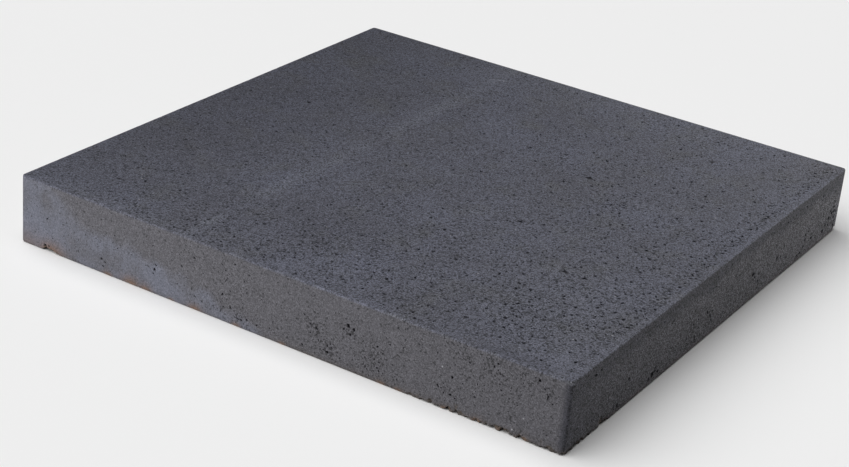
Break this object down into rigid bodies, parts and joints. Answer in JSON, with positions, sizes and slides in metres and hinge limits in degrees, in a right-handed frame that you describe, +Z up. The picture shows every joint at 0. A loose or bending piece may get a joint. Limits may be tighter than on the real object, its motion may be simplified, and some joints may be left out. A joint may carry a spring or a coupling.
{
  "type": "concrete paving slab",
  "caption": "Square dark grey concrete paving slab with a flat pored walking face, straight sides and slightly rounded edges, laid flat on a bed to pave paths and terraces.",
  "frame": {"origin": "middle of the underside, on the plane that the slab lies on", "axes": "+Z up out of the walking face; X and Y square to the four sides"},
  "size_m": [0.6, 0.6, 0.07],
  "materials": {
    "anthracite_concrete": "matte"
  },
  "bodies": {
    "root": {"paving_slab": "anthracite_concrete"}
  },
  "joints": []
}
